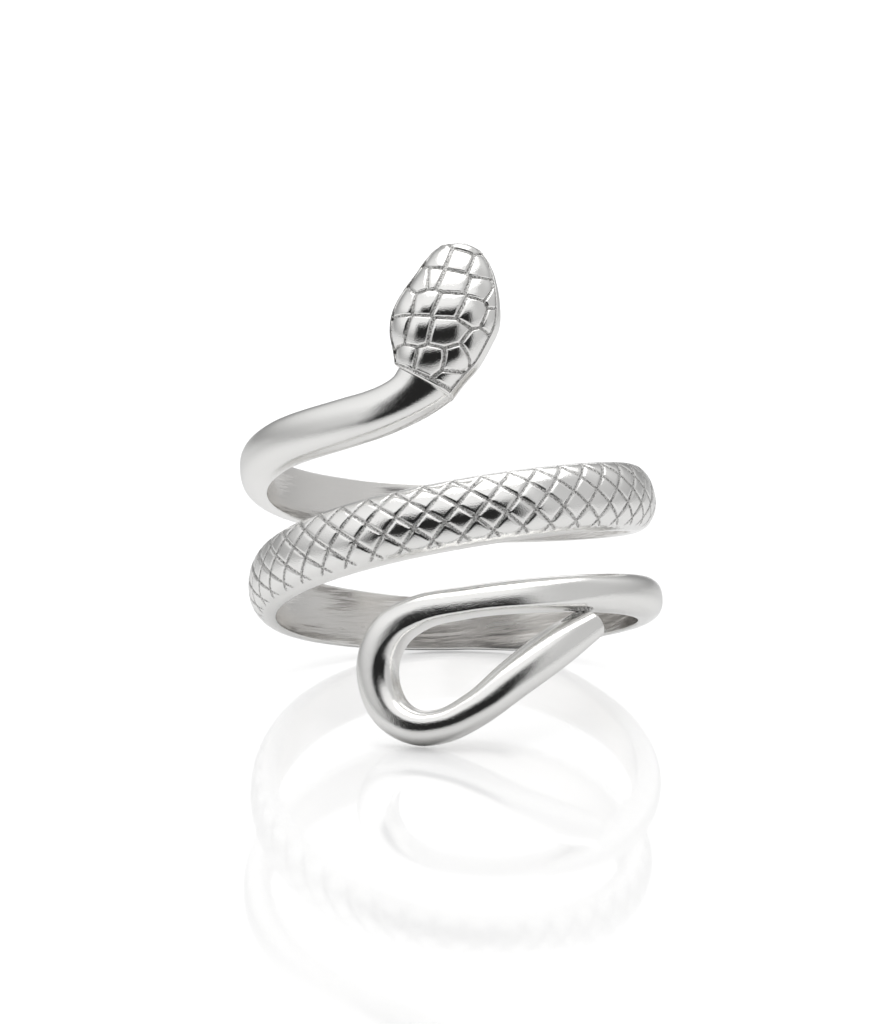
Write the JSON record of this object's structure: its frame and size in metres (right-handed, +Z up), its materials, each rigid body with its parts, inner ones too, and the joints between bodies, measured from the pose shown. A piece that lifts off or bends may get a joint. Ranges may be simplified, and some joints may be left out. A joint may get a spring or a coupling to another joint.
{
  "type": "coiled snake ring",
  "caption": "Coiled snake ring for a finger: a cast silver band with an engraved scaled turn, a raised scaled head and a tail bent into an open loop.",
  "frame": {"origin": "middle of the bounding box in X and Y, on the surface that the ring rests on", "axes": "+Z up, -Y towards the side with the head and the tail's loop, +X to the right as seen from there; the finger's axis leans back from +Z by 21.5 degrees and rolls 4.4 degrees to the left"},
  "size_m": [0.0206, 0.0238, 0.0226],
  "materials": {
    "silver": "mirror polished silver, satin inside the band, matt in the grooves"
  },
  "bodies": {
    "root": {"snake_ring": "silver"}
  },
  "joints": []
}
